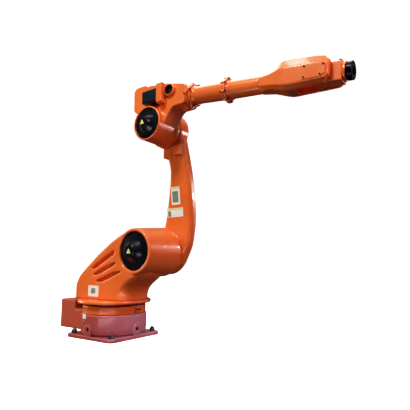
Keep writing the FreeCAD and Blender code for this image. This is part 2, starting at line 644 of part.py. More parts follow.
rear_disc = turned("joint_rear_disc", FOREARM, [
    ("joint_at - joint_t", "0"), ("joint_at - joint_t", "joint_r - 2"),
    ("joint_at - joint_t + 2", "joint_r"), ("joint_at - 1", "joint_r"),
    ("joint_at", "joint_r - 1"), ("joint_at", "0")], axis="H_Axis")
front_disc = turned("joint_front_disc", FOREARM, [
    ("joint_at", "0"), ("joint_at", "joint_r - 1"), ("joint_at + 1", "joint_r"),
    ("joint_at + joint_t - 2", "joint_r"), ("joint_at + joint_t", "joint_r - 2"),
    ("joint_at + joint_t", "0")], axis="H_Axis")
JOINT_TURNS = (22, 67, 112, 157, 202, 247, 292, 337)
keep(eared("joint_flange_rear", rear_disc, "joint_at - joint_t", "joint_t", "joint_ear_at_r",
           "joint_ear_r", JOINT_TURNS))
keep(eared("joint_flange_front", front_disc, "joint_at", "joint_t", "joint_ear_at_r",
           "joint_ear_r", JOINT_TURNS))
keep(turned("front_tube", FOREARM, [
    ("joint_at + joint_t", "0"), ("joint_at + joint_t", "tube_r + 6"),
    ("joint_at + joint_t + 10", "tube_r"), ("wrist_pivot - wrist_len", "tube_end_r"),
    ("wrist_pivot - wrist_len", "0")], axis="H_Axis"))


def wrist_section(at, half_w, low, high):
    """A section of the wrist housing: flat sides with a long upper and a short lower bevel."""
    side, top, foot = "(%s)" % half_w, "(%s)" % high, "(%s)" % low
    return (at, [("-" + side, "-%s*0.71" % foot), ("-%s*0.66" % side, "-" + foot),
                 (side + "*0.66", "-" + foot), (side, "-%s*0.71" % foot),
                 (side, top + "*0.42"), (side + "*0.7", top), ("-%s*0.7" % side, top),
                 ("-" + side, top + "*0.42")])


HALF_W = "wrist_w/2"
TUBE_EIGHT = [(-1, -0.414), (-0.414, -1), (0.414, -1), (1, -0.414), (1, 0.414), (0.414, 1),
              (-0.414, 1), (-1, 0.414)]
wrist_shell = lofted("wrist_shell", FOREARM, "YZ_Plane", [
    ("wrist_pivot - wrist_len", [("tube_end_r*(%s)" % y, "tube_end_r*(%s)" % z) for y, z in TUBE_EIGHT]),
    wrist_section("wrist_pivot - wrist_len + 78", HALF_W + " - 18", "wrist_low - 27", "wrist_top - 42"),
    wrist_section("wrist_pivot - wrist_len + 118", HALF_W + " - 8", "wrist_low - 17", "wrist_top - 26"),
    wrist_section("wrist_pivot - wrist_len + 150", HALF_W + " - 2", "wrist_low - 8", "wrist_top - 5"),
    wrist_section("wrist_pivot - wrist_len + 184", HALF_W, "wrist_low", "wrist_top"),
    wrist_section("wrist_pivot - wrist_len + 239", HALF_W, "wrist_low", "wrist_top - 2"),
    wrist_section("wrist_pivot - 78", HALF_W, "wrist_low - 4", "wrist_top - 4"),
    wrist_section("wrist_pivot - 22", HALF_W, "wrist_low - 8", "wrist_top - 6"),
    wrist_section("wrist_pivot + 38", HALF_W, "wrist_low - 12", "wrist_top - 13"),
    wrist_section("wrist_pivot + far_arm_end", HALF_W + " - 5", "wrist_low - 17",
                  "wrist_top - 30")], ruled=True)
slot = block("fork_slot", tilted("wrist_pivot - fork_slot_back", "-fork_gap/2", "-200"),
             "fork_slot_back + 200", "fork_gap", "400")
NEAR_END = "wrist_pivot + near_arm_end"
near_room = padded("near_arm_room", FOREARM, "XZ_Plane", [
    (NEAR_END + " - 32", "150"), (NEAR_END + " - 32", "wrist_top - 13"), (NEAR_END, "56"),
    (NEAR_END, "-34"), (NEAR_END + " - 30", "-wrist_low + 14"), (NEAR_END + " - 30", "-150"),
    (NEAR_END + " + 150", "-150"), (NEAR_END + " + 150", "150")], "200")
keep(cut("wrist_housing", wrist_shell, joined("fork_room", [slot, near_room])))
COVER_S0 = "wrist_pivot - 73"
COVER_S1 = "wrist_pivot + 61"
for side_name, start in (("right", "wrist_w/2"), ("left", "-wrist_w/2 - side_cover_t")):
    cover = padded("wrist_side_cover_" + side_name, FOREARM, "XZ_Plane", [
        (COVER_S0, "-wrist_low + 36"), (COVER_S1 + " - 30", "-wrist_low + 40"),
        (COVER_S1, "-wrist_low + 56"),
        (COVER_S1, "wrist_top - 66"), (COVER_S0, "wrist_top - 64")], "side_cover_t",
        offset=start)
    keep(rounded(cover, "10", along(Y_WAY)))
keep(padded("wrist_bottom_cover", FOREARM, "XY_Plane", [
    ("wrist_pivot - wrist_len + 190", "-wrist_w/2 + 40"),
    ("wrist_pivot - wrist_len + 239", "-wrist_w/2 + 40"),
    ("wrist_pivot - wrist_len + 239", "wrist_w/2 - 40"),
    ("wrist_pivot - wrist_len + 190", "wrist_w/2 - 40")],
    "bottom_cover_t", offset="-wrist_low - bottom_cover_t"))

# --- wrist and tool flange --------------------------------------------------------------
TILT_W = "fork_gap - 2*pivot_gap"
tilt_drum = cylinder("tilt_drum", sideways("wrist_pivot", "-fork_gap/2 + pivot_gap"),
                     "tilt_r", TILT_W)
tilt_boss = cylinder("tilt_boss", sideways("wrist_pivot", "-fork_gap/2 + seat_gap"),
                     "pivot_boss_r", "fork_gap - 2*seat_gap")
tilt_neck = block("tilt_neck", tilted("wrist_pivot", "-fork_gap/2 + pivot_gap",
                  "-tilt_neck_low"), "tilt_neck_end", TILT_W, "tilt_neck_low + tilt_neck_top")
keep(joined("wrist_tilt_body", [tilt_drum, tilt_boss, tilt_neck]))
NOSE_S = "wrist_pivot + tilt_neck_end"
NOSE_END = "wrist_pivot + wrist_nose_end"
keep(turned("wrist_nose", FOREARM, [
    (NOSE_S, "0"), (NOSE_S, "wrist_nose_r - 5"), (NOSE_S + " + 5", "wrist_nose_r"),
    (NOSE_END, "wrist_nose_r"), (NOSE_END, "0")], axis="H_Axis"))
TOOL_S = "wrist_pivot + wrist_nose_end + tool_gap"
FACE_S = "wrist_pivot + tool_face"
tool_blank = turned("tool_blank", FOREARM, [
    (NOSE_END + " + seat_gap", "0"), (NOSE_END + " + seat_gap", "tool_bore_r"),
    (TOOL_S, "tool_bore_r"), (TOOL_S, "tool_r - 6"), (TOOL_S + " + 6", "tool_r"),
    (FACE_S + " - 1.5", "tool_r"), (FACE_S, "tool_r - 1.5"), (FACE_S, "tool_bore_r"),
    (FACE_S + " - tool_bore_depth", "tool_bore_r"), (FACE_S + " - tool_bore_depth", "0")],
    axis="H_Axis")
doc.recompute()
drills = tool_blank.newObject("Sketcher::SketchObject", "tool_drill_sketch")
drills.AttachmentSupport = [(plane_of(tool_blank, "YZ_Plane"), "")]
drills.MapMode = "FlatFace"
drills.AttachmentOffset = Placement(Vector(0, 0, value(FACE_S)), Rotation())
drills.setExpression("AttachmentOffset.Base.z", bound(FACE_S))
circle(drills, "0", "tool_pitch_r", "tool_hole_r")
drill = tool_blank.newObject("PartDesign::Pocket", "tool_drill")
drill.Profile = drills
drill.Length = value("tool_hole_depth")
drill.setExpression("Length", bound("tool_hole_depth"))
ring = tool_blank.newObject("PartDesign::PolarPattern", "tool_drill_ring")
ring.Originals = [drill]
ring.Axis = (plane_of(tool_blank, "X_Axis"), [""])
ring.Angle = 360
ring.Occurrences = 6
tool_blank.Tip = ring
tool_blank.Label = "tool_flange"
keep(tool_blank)

doc.recompute()
os.makedirs("parts", exist_ok=True)
for obj in doc.Objects:
    if "Invalid" in obj.State or "Error" in obj.State:
        raise RuntimeError("failed object: " + obj.Name + " " + str(obj.State))
for obj in NODES:
    if obj.Shape.isNull() or not obj.Shape.isValid():
        raise RuntimeError("bad shape: " + obj.Label)
for obj in NODES:
    obj.Shape.exportStep("parts/" + obj.Label + ".step")
    box = obj.Shape.BoundBox
    print("%-24s %4d solids %12.0f mm3" % (obj.Label, len(obj.Shape.Solids), obj.Shape.Volume))
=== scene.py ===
import bpy
import bmesh
import json
import math
from mathutils import Matrix, Vector
from mathutils.bvhtree import BVHTree


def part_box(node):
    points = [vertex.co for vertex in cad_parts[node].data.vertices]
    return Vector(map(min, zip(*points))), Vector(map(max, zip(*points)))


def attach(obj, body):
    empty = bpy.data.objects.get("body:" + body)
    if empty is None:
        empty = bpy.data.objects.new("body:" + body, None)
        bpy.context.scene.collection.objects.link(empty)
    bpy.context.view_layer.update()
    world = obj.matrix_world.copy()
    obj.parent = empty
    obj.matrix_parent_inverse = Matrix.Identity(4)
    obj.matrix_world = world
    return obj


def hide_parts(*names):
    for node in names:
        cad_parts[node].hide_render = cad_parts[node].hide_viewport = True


# Looks of a six-axis industrial robot arm. Metres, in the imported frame: +Z up, +X towards the
# tool, and the motor covers face -Y. Sizes of small parts are given in millimetres.

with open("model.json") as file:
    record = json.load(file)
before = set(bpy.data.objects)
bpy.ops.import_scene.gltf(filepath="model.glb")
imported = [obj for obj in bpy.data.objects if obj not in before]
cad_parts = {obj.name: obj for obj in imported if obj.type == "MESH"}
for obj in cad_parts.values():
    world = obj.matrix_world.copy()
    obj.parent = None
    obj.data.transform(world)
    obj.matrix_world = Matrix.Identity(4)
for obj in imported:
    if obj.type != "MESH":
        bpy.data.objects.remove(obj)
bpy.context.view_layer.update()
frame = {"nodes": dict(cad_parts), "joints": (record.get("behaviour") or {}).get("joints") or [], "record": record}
nodes = frame["nodes"]
record = frame["record"]
joints = {joint["name"]: joint for joint in frame["joints"]}
slot_of = {row["node"]: row["material_slot"] for row in record["subparts"]}
body_of = {node: body for body, names in record["behaviour"]["bodies"].items() for node in names}
MM = 0.001

FRONT = Vector((1, 0, 0))
SIDE = Vector((0, 1, 0))
UP = Vector((0, 0, 1))
SHOULDER = Vector(joints["shoulder"]["pos_m"])
ELBOW = Vector(joints["elbow"]["pos_m"])
TOOL = Vector(joints["tool_roll"]["pos_m"])
AHEAD = Vector(joints["forearm_roll"]["axis"])
FOREARM_UP = AHEAD.cross(SIDE)
# the foot of the elbow axis: the point of the forearm's own axis that lies nearest to it
FOOT = TOOL - AHEAD * (TOOL - ELBOW).dot(AHEAD)


# --- colours and nodes ------------------------------------------------------------------------
# the sockets of a mix node that mixes two colours
SHARE, FIRST, SECOND, MIXED = 0, 6, 7, 2


def linear(code):
    """An sRGB hex colour as linear values."""
    parts = [int(code[i:i + 2], 16) / 255 for i in (1, 3, 5)]
    lit = [p / 12.92 if p <= 0.04045 else ((p + 0.055) / 1.055) ** 2.4 for p in parts]
    return (*lit, 1.0)


def add(tree, kind, sockets, **settings):
    """Adds a node with its settings. Each socket gets a value or another node's output."""
    node = tree.nodes.new(kind)
    for name, setting in settings.items():
        setattr(node, name, setting)
    for name, source in sockets.items():
        if isinstance(source, bpy.types.NodeSocket):
            tree.links.new(source, node.inputs[name])
        else:
            node.inputs[name].default_value = source
    return node


def bare(name):
    """A material without a surface yet: it, its tree and the part's own coordinates."""
    material = bpy.data.materials.new(name)
    material.use_nodes = True
    tree = material.node_tree
    tree.nodes.clear()
    return material, tree, add(tree, "ShaderNodeTexCoord", {}).outputs["Object"]


def surfaced(tree, sockets):
    """Gives the material its surface."""
    shader = add(tree, "ShaderNodeBsdfPrincipled", sockets)
    add(tree, "ShaderNodeOutputMaterial", {"Surface": shader.outputs["BSDF"]})


def clouds(tree, place, size_mm, low, high, least=0.0, most=1.0, detail=3.0):
    """Soft clouds of about that size. Their values from low to high run from least to most."""
    field = add(tree, "ShaderNodeTexNoise", {
        "Vector": place, "Scale": 1 / (size_mm * MM), "Detail": detail, "Roughness": 0.55})
    return add(tree, "ShaderNodeMapRange", {
        "Value": field.outputs["Fac"], "From Min": low, "From Max": high, "To Min": least,
        "To Max": most}).outputs["Result"]


def painted_edge_highlight(tree, tone, rim, low, high, most):
    """The tone, paler on outside edges: a painted highlight along the rims."""
    point = add(tree, "ShaderNodeNewGeometry", {}).outputs["Pointiness"]
    edge = add(tree, "ShaderNodeMapRange", {
        "Value": point, "From Min": low, "From Max": high, "To Max": most}).outputs["Result"]
    return add(tree, "ShaderNodeMix", {SHARE: edge, FIRST: tone, SECOND: linear(rim)},
               data_type="RGBA").outputs[MIXED]


def relief(tree, place, size_mm, depth_mm, strength, detail=1.0, rough=0.55):
    """Fine bumps of that size and depth: their heights, and the surface direction they give."""
    field = add(tree, "ShaderNodeTexNoise", {
        "Vector": place, "Scale": 1 / (size_mm * MM), "Detail": detail, "Roughness": rough}
        ).outputs["Fac"]
    return field, add(tree, "ShaderNodeBump", {
        "Height": field, "Distance": depth_mm * MM, "Strength": strength}).outputs["Normal"]


# --- finishes ---------------------------------------------------------------------------------
PAINT_IOR = 1.5
# a little under that of solid plastic, 1.54, which keeps the black covers dark
PLASTIC_IOR = 1.46
COAT_ROUGHNESS = 0.08


def enamel(name, light, deep, rim, roughness, coat):
    """Two-pack enamel sprayed on cast metal. It is glossy with a faint orange peel, its tone
    drifts where the coat is thinner, and it has painted highlights on its edges if a rim colour
    is given."""
    material, tree, place = bare(name)
    drift = clouds(tree, place, 380, 0.38, 0.62)
    tone = add(tree, "ShaderNodeMix", {SHARE: drift, FIRST: linear(light), SECOND: linear(deep)},
               data_type="RGBA").outputs[MIXED]
    if rim:
        # paler rims: painted highlight on the edges
        tone = painted_edge_highlight(tree, tone, rim, 0.52, 0.58, 0.45)
    # real peel has waves 1 to 3 mm long; these are 7 mm, so that they still break the gloss
    # when the whole arm is in view
    _, peel = relief(tree, place, 7, 0.10, 0.10)
    gloss = clouds(tree, place, 90, 0.3, 0.7, roughness - 0.05, roughness + 0.07)
    surfaced(tree, {"Base Color": tone, "Roughness": gloss, "Normal": peel, "IOR": PAINT_IOR,
                    "Coat Weight": coat, "Coat Roughness": COAT_ROUGHNESS})
    return material


def pedestal_enamel():
    """Flatter enamel over oxide primer. It is brown at the connector box and turns to rose and then
    to pale rose towards the right, a painted pink reflection of light from that side, with darker
    clouds and painted highlights on its edges."""
    material, tree, place = bare("rose_enamel")
    # towards +X and +Y the paint turns rose and then pale rose: a painted reflection of pink light from that side
    split = add(tree, "ShaderNodeSeparateXYZ", {"Vector": place}).outputs
    side = add(tree, "ShaderNodeMath", {0: split["Y"], 1: 0.72}, operation="MULTIPLY")
    towards_pink_light = add(tree, "ShaderNodeMath", {0: split["X"], 1: side.outputs[0]},
                 operation="ADD").outputs[0]
    rose, pale = [add(tree, "ShaderNodeMapRange", {
        "Value": towards_pink_light, "From Min": start, "From Max": end}).outputs["Result"]
        for start, end in ((-0.24, -0.04), (-0.02, 0.24))]
    dark = clouds(tree, place, 160, 0.35, 0.65, most=0.35)
    tone = linear("#ad543f")
    for share, other in ((rose, "#b0646c"), (pale, "#e0a6ba"), (dark, "#9a4a50")):
        tone = add(tree, "ShaderNodeMix", {SHARE: share, FIRST: tone, SECOND: linear(other)},
                   data_type="RGBA").outputs[MIXED]
    # paler rims: painted highlight on the edges
    tone = painted_edge_highlight(tree, tone, "#e0a2ae", 0.51, 0.56, 0.5)
    # primer dust of about 1 mm, drawn 3.5 mm wide so that it shows
    _, dust = relief(tree, place, 3.5, 0.3, 0.12)
    surfaced(tree, {"Base Color": tone, "Roughness": 0.36, "Normal": dust, "IOR": PAINT_IOR,
                    "Coat Weight": 0.35, "Coat Roughness": COAT_ROUGHNESS})
    return material


def moulded(name, colour, deep, roughness, coat):
    """Moulded plastic, rubber or printed vinyl: an even colour whose fine grain breaks the
    gloss."""
    material, tree, place = bare(name)
    cloud = clouds(tree, place, 60, 0.3, 0.7, detail=2.0)
    tone = add(tree, "ShaderNodeMix", {SHARE: cloud, FIRST: linear(colour), SECOND: linear(deep)},
               data_type="RGBA").outputs[MIXED]
    # spark-eroded grain is some 0.2 mm wide; it is drawn at 1.6 mm so that it shows
    _, grain = relief(tree, place, 1.6, 0.12, 0.12, detail=2.0)
    surfaced(tree, {"Base Color": tone, "Roughness": roughness, "Normal": grain,
                    "IOR": PLASTIC_IOR, "Coat Weight": coat, "Coat Roughness": COAT_ROUGHNESS})
    return material


def metal(name, colour, deep, roughness, marks_mm):
    """Machined, cast or plated metal: fine tool marks scatter the light, and the plating is a
    little uneven. The marks are drawn several times wider than they are, so that they show."""
    material, tree, place = bare(name)
    cloud = clouds(tree, place, 24, 0.3, 0.7)
    tone = add(tree, "ShaderNodeMix", {SHARE: cloud, FIRST: linear(colour), SECOND: linear(deep)},
               data_type="RGBA").outputs[MIXED]
    marks, tooled = relief(tree, place, marks_mm, 0.05, 0.25, detail=3.0, rough=0.5)
    worn = add(tree, "ShaderNodeMapRange", {
        "Value": marks, "From Min": 0.3, "From Max": 0.7, "To Min": roughness - 0.08,
        "To Max": roughness + 0.1}).outputs["Result"]
    surfaced(tree, {"Base Color": tone, "Metallic": 1.0, "Roughness": worn, "Normal": tooled})
    return material


# the castings' enamel gleams softly; small parts have no painted edge highlights, which would
# swallow them
ORANGE = enamel("orange_enamel", "#ec8242", "#e27638", "#f7ac72", 0.28, 0.3)
SMALL_ORANGE = enamel("orange_enamel_on_small_parts", "#ec8242", "#e27638", None, 0.28, 0.3)
BRICK = enamel("brick_enamel", "#bd6149", "#b05843", "#bb7f84", 0.4, 0.2)
ROSE = pedestal_enamel()
GREY_PANEL = enamel("grey_stove_enamel", "#55585b", "#4b4e51", None, 0.42, 0.1)
MOTOR_BLACK = enamel("black_stove_enamel", "#12262f", "#16303a", "#34484f", 0.3, 0.2)
# the covers are blue-black with a soft shine, the rubber is dull
COVER_BLACK = moulded("satin_black_abs", "#030c18", "#061526", 0.3, 0.1)
RUBBER = moulded("black_nitrile_rubber", "#0b0c0e", "#111316", 0.55, 0.0)
VINYL = moulded("white_vinyl_label", "#eff8fb", "#e6eff2", 0.42, 0.15)
GREY_VINYL = moulded("grey_green_vinyl_label", "#7f9a96", "#748e8a", 0.45, 0.1)
YELLOW_VINYL = moulded("pale_yellow_vinyl_label", "#dfe79a", "#d3dd8a", 0.4, 0.2)
# screws are dark, anchors grey-blue, and the rear panel's fittings bright
BEARING_STEEL = metal("ground_bearing_steel", "#5d6064", "#4c4f53", 0.35, 1.2)
BLACK_OXIDE = metal("black_oxide_steel", "#23272c", "#15181c", 0.3, 1.0)
BLUED = metal("blued_anchor_steel", "#8492a0", "#66727e", 0.38, 1.4)
ZINC = metal("zinc_plated_steel", "#a9adb2", "#8d9297", 0.3, 1.4)
ALLOY = metal("die_cast_aluminium", "#a4a7ab", "#8e9195", 0.42, 2.0)

FINISH = {
    "arm_paint": ORANGE, "base_paint": ROSE, "box_paint": BRICK, "bearing_steel": BEARING_STEEL,
    "panel_steel": GREY_PANEL, "socket_alloy": ALLOY, "black_plastic": COVER_BLACK,
    "motor_black": MOTOR_BLACK, "flange_black": BLACK_OXIDE,
}
# Faces that meet at more than this angle keep a sharp edge between them.
CAD_CREASE = math.radians(32)
ADDED_CREASE = math.radians(35)
# the CAD pieces themselves, of which the cast ones are stood for further down
for name, obj in nodes.items():
    finish = FINISH[slot_of[name]]
    obj.data.materials.clear()
    obj.data.materials.append(SMALL_ORANGE if finish == ORANGE else finish)
    obj.data.shade_smooth()
    obj.data.set_sharp_from_angle(angle=CAD_CREASE)
# the cover under the wrist has the duller brick enamel, painted shade for the shadow it lies in
nodes["wrist_bottom_cover"].data.materials[0] = BRICK


# --- places -----------------------------------------------------------------------------------
def facing(centre, axis, upward=UP):
    """A place at the centre whose own Z runs along the axis."""
    z = Vector(axis).normalized()
    x = Vector(upward).cross(z)
    if x.length < 1e-6:
        x = SIDE.cross(z)
    x.normalize()
    return Matrix.Translation(centre) @ Matrix((x, z.cross(x), z)).transposed().to_4x4()


def moved(place, x, y, z):
    """The place moved along its own directions, in millimetres."""
    return place @ Matrix.Translation(Vector((x, y, z)) * MM)


def spoke(degrees):
    """The level direction that many degrees round from +X."""
    return Vector((math.cos(math.radians(degrees)), math.sin(math.radians(degrees)), 0))


def middle(node):
    """The middle of the node's box."""
    low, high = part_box(node)
    return (low + high) / 2


def span(node):
    """Where the node begins and ends along the forearm's axis, in millimetres from its foot."""
    along = [(vertex.co - FOOT).dot(AHEAD) / MM for vertex in nodes[node].data.vertices]
    return min(along), max(along)


def on_forearm(along, out, turn=0):
    """A point that far along the forearm's axis, and out from it at a turn from its top."""
    lean = math.radians(turn)
    level = FOREARM_UP * math.cos(lean) + SIDE * math.sin(lean)
    return FOOT + (AHEAD * along + level * out) * MM


# --- shapes, drawn into a mesh ----------------------------------------------------------------
def skin(mesh, loops):
    """Faces between loops of points, and over the first and last of them."""
    rings = [[mesh.verts.new(point) for point in loop] for loop in loops]
    for low, high in zip(rings, rings[1:]):
        count = max(len(low), len(high))
        for i in range(count):
            j = (i + 1) % count
            corners = [low[i % len(low)], low[j % len(low)], high[j % len(high)],
                       high[i % len(high)]]
            corners = list(dict.fromkeys(corners))
            if len(corners) > 2:
                mesh.faces.new(corners)
    for ring in (rings[0], rings[-1]):
        if len(ring) > 2:
            mesh.faces.new(ring)


def ring_of(place, radius, height, sides, hexagonal=False):
    """Points round the place's own Z. A hexagonal ring keeps that radius at its corners."""
    if radius == 0:
        return [place @ Vector((0, 0, height))]
    points = []
    for i in range(sides):
        turn = math.tau * i / sides
        reach = radius
        if hexagonal:
            reach = radius * math.cos(math.pi / 6) / math.cos(turn % (math.pi / 3) - math.pi / 6)
        points.append(place @ Vector((reach * math.cos(turn), reach * math.sin(turn), height)))
    return points


def lathe(mesh, place, profile, sides=24):
    """A turned shape. The profile's rows are radius, height and, for a hexagon, True."""
    skin(mesh, [ring_of(place, row[0] * MM, row[1] * MM, sides, len(row) > 2) for row in profile])


def rounded_plate(mesh, place, width, height, thick, corner, soft=0.8):
    """A flat plate with round corners and softened front edges."""
    loops = []
    for inset, level in ((0, 0), (0, thick - soft), (soft, thick)):
        points = []
        for sx, sy, start in ((1, 1, 0), (-1, 1, 90), (-1, -1, 180), (1, -1, 270)):
            for i in range(7):
                turn = math.radians(start + 15 * i)
                reach = max(corner - inset, 0.2)
                x = sx * (width / 2 - corner) + reach * math.cos(turn)
                y = sy * (height / 2 - corner) + reach * math.sin(turn)
                points.append(place @ (Vector((x, y, level)) * MM))
        loops.append(points)
    skin(mesh, loops)


def sticker(mesh, place, reach, corner=3.2):
    """A thin three-cornered label with round corners, left without any marking."""
    loops = []
    for inset, level in ((0, -0.4), (0, 0.5), (0.5, 0.8)):
        points = []
        for heading in (90, 210, 330):
            for i in range(7):
                edge = spoke(heading - 60 + 20 * i) * (corner - inset)
                points.append(place @ ((spoke(heading) * (reach - corner) + edge + UP * level)
                                       * MM))
        loops.append(points)
    skin(mesh, loops)


def cap_screw(mesh, place, size, sink=1.0):
    """A socket head cap screw of that thread size, set that deep: head 1.5 d wide, 1 d high."""
    wide, high, key = size * 0.75, size, size * 0.46
    lathe(mesh, place, [
        (wide, -sink), (wide, high * 0.86), (wide * 0.88, high), (key, high, True),
        (key, high * 0.45, True), (0, high * 0.4)])


def screw_ring(mesh, place, pitch_r, count, size, first=0.0):
    """Cap screws evenly round the place's own Z."""
    for i in range(count):
        spot = spoke(first + 360 * i / count) * pitch_r
        cap_screw(mesh, moved(place, *spot), size)


def anchor(mesh, place, size):
    """A floor anchor: a washer, a hexagon nut with bevelled corners and the stud's end."""
    corner = size * 0.866
    top = size * 0.84 + 4
    lathe(mesh, place, [(size * 0.92, 0), (size * 0.92, 3.4), (size * 0.89, 4), (0, 4)], 36)
    lathe(mesh, place, [
        (corner * 0.9, 4), (corner, 5.5, True), (corner, top - 1.6, True),
        (corner * 0.88, top), (size * 0.5, top)], 36)
    stud = [(size * 0.5, 4)]
    for i in range(4):
        stud += [(size * 0.5, top + i * 2.6 - 1), (size * 0.455, top + i * 2.6 + 0.3)]
    stud += [(size * 0.42, top + 9.5), (0, top + 9.5)]
    lathe(mesh, place, stud)


# --- pieces -----------------------------------------------------------------------------------
def finished(name, mesh, body, finish):
    """The mesh as a piece on its body, shaded smooth except at sharp edges."""
    bmesh.ops.recalc_face_normals(mesh, faces=mesh.faces[:])
    data = bpy.data.meshes.new(name)
    mesh.to_mesh(data)
    mesh.free()
    data.shade_smooth()
    data.set_sharp_from_angle(angle=ADDED_CREASE)
    data.materials.append(finish)
    obj = bpy.data.objects.new(name, data)
    bpy.context.scene.collection.objects.link(obj)
    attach(obj, body)
    return obj


def piece(name, body, finish, shapes):
    """A piece made of one or more shapes. Each is given as its maker, its place and its sizes."""
    mesh = bmesh.new()
    for maker, place, *sizes in shapes:
        maker(mesh, place, *sizes)
    return finished(name, mesh, body, finish)


def screws(name, body, size, places):
    """Black cap screws of one size."""
    piece(name, body, BLACK_OXIDE, [(cap_screw, at, size) for at in places])


def cast(node, voxel_mm, passes):
    """A casting with the soft edges that sand moulding and thick enamel leave: the CAD solid,
    meshed evenly and relaxed."""
    mesh = bmesh.new()
    mesh.from_mesh(nodes[node].data)
    bmesh.ops.remove_doubles(mesh, verts=mesh.verts[:], dist=0.02 * MM)
    obj = finished(node + "_cast", mesh, body_of[node], FINISH[slot_of[node]])
    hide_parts(node)
    remesh = obj.modifiers.new("even_skin", "REMESH")
    remesh.mode = "VOXEL"
    remesh.voxel_size = voxel_mm * MM
    remesh.use_smooth_shade = True
    relax = obj.modifiers.new("relaxed_edges", "SMOOTH")
    relax.factor = 0.5
    relax.iterations = passes
    view = bpy.context.evaluated_depsgraph_get()
    made = bpy.data.meshes.new_from_object(obj.evaluated_get(view))
    obj.modifiers.clear()
    obj.data = made
    made.shade_smooth()


# Below, a plate's or label's size is its width, height, thickness, corner radius and, where it
# isn't the usual, how far its front edge is softened. A turned shape's rows are radius, height.

# --- pedestal ---------------------------------------------------------------------------------
cast("base_plate", 4.8, 3)
cast("base_casting", 5.0, 5)
cast("base_lugs", 2.4, 3)
cast("fixed_ring", 5.0, 3)
cast("connector_box", 5.4, 3)

PLATE_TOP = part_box("base_plate")[1].z
ANCHOR_AT = 205 * MM
ANCHOR_THREAD = 24
piece("anchor_nuts", "base", BLUED, [
    (anchor, Matrix.Translation((x, y, PLATE_TOP)), ANCHOR_THREAD)
    for x in (-ANCHOR_AT, ANCHOR_AT) for y in (-ANCHOR_AT, ANCHOR_AT)])

LUG_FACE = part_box("base_lugs")[1].x
EYE_UP = 70 * MM
# a dark rubber cup sunk in each lug's eye: painted shade for the depth of the hole
EYE_SHADE_DEEP = 3.2 * MM
EYE_SHADE_CUP = [(13, -2), (13, 0), (10.8, 0), (10.2, -1.2), (0, -1.2)]
piece("lug_eye_painted_shade", "base", RUBBER, [
    (lathe, facing(way * (LUG_FACE - EYE_SHADE_DEEP) + UP * EYE_UP, way), EYE_SHADE_CUP, 36)
    for way in (FRONT, SIDE, -SIDE)])

BOWL_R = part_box("base_casting")[1].x / MM


def on_bowl(turn, up, deep):
    """A place on the bowl's wall, that far round and up, and sunk that deep."""
    way = spoke(turn)
    return facing((way * (BOWL_R - deep) + UP * up) * MM, way)


TAG = (46, 34, 2.2, 3)
BOSS_AND_STUD = [(9, 0), (9, 9), (8, 10), (5, 10), (5, 16), (4.2, 17), (0, 17)]
STUD_NUT = [(7.4, 9), (7.5, 10, True), (7.5, 14, True), (6.6, 15), (0, 15)]
piece("bowl_tag", "base", VINYL,
      [(rounded_plate, on_bowl(-102, 160, 0.6), *TAG)])
stud = on_bowl(-104, 118, 8)
piece("earth_stud", "base", ZINC,
      [(lathe, stud, BOSS_AND_STUD), (lathe, stud, STUD_NUT)])

RING_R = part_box("fixed_ring")[1].x / MM
STOP_UP = 208
STOP_THICK = 20
stop = facing(Vector((RING_R - 3, 0, STOP_UP)) * MM, FRONT)
piece("slew_stop_block", "base", SMALL_ORANGE,
      [(rounded_plate, stop, 46, 36, STOP_THICK, 5, 2)])
screws("slew_stop_screws", "base", 8, [moved(stop, y, 0, STOP_THICK) for y in (-13, 13)])

panel = middle("connector_panel")
panel.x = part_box("connector_panel")[0].x
piece("panel_screws", "base", ZINC, [
    (cap_screw, facing(panel + Vector((0, y, z)) * MM, -FRONT), 6)
    for y in (-116, 0, 116) for z in (-80, 80)])

SOCKET_INSERT = [(23, -0.5), (23, 1.4), (22, 1.8), (0, 1.8)]
SOCKET_PIN = [(1.6, 0), (1.6, 1.8), (1.0, 2.6), (0, 2.6)]
# the two rings of pins: radius and how many
PIN_CIRCLES = ((6.5, 5), (15.5, 12))
socket_low, socket_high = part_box("connector_sockets")
socket_r = (socket_high.z - socket_low.z) / 2
for i, y in enumerate((socket_low.y + socket_r, 0, socket_high.y - socket_r)):
    mouth = facing((socket_low.x, y, socket_low.z + socket_r), -FRONT)
    piece("socket_insert_%d" % i, "base", RUBBER,
          [(lathe, mouth, SOCKET_INSERT, 36)])
    piece("socket_pins_%d" % i, "base", ZINC, [
        (lathe, moved(mouth, *(spoke(360 * k / count) * pitch_r + UP * 1.2)), SOCKET_PIN, 10)
        for pitch_r, count in PIN_CIRCLES for k in range(count)])

# --- turret -----------------------------------------------------------------------------------
cast("turret_casting", 5.2, 6)
cast("turret_lip", 4.8, 3)
WELL_DEEP = 12 * MM


def motor_cover_details(tag, body, centre, casting, rim_r, boss_r):
    """What is fixed to a motor cover in its well: screws, the boss's cap and a blank label."""
    cover_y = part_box(tag + "_motor_cover")[0].y
    rim = facing((centre.x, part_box(casting)[0].y + WELL_DEEP, centre.z), -SIDE)
    boss = facing((centre.x, cover_y, centre.z), -SIDE)
    piece(tag + "_cover_screws", body, BLACK_OXIDE,
          [(screw_ring, rim, rim_r, 8, 5, 22.5)])
    piece(tag + "_cover_cap", body, COVER_BLACK, [
        (lathe, boss, [
            (boss_r - 13, -6), (boss_r - 13, 2.6), (boss_r - 15.5, 4.6), (boss_r - 22, 4.6),
            (boss_r - 23, 3.4), (0, 3.4)], 64)])
    # the label lies on the cap, a little below and behind its middle
    label = facing(boss.translation + Vector((-6, -3.4, -6)) * MM, -SIDE)
    piece(tag + "_cover_label", body, YELLOW_VINYL, [(sticker, label, 22)])


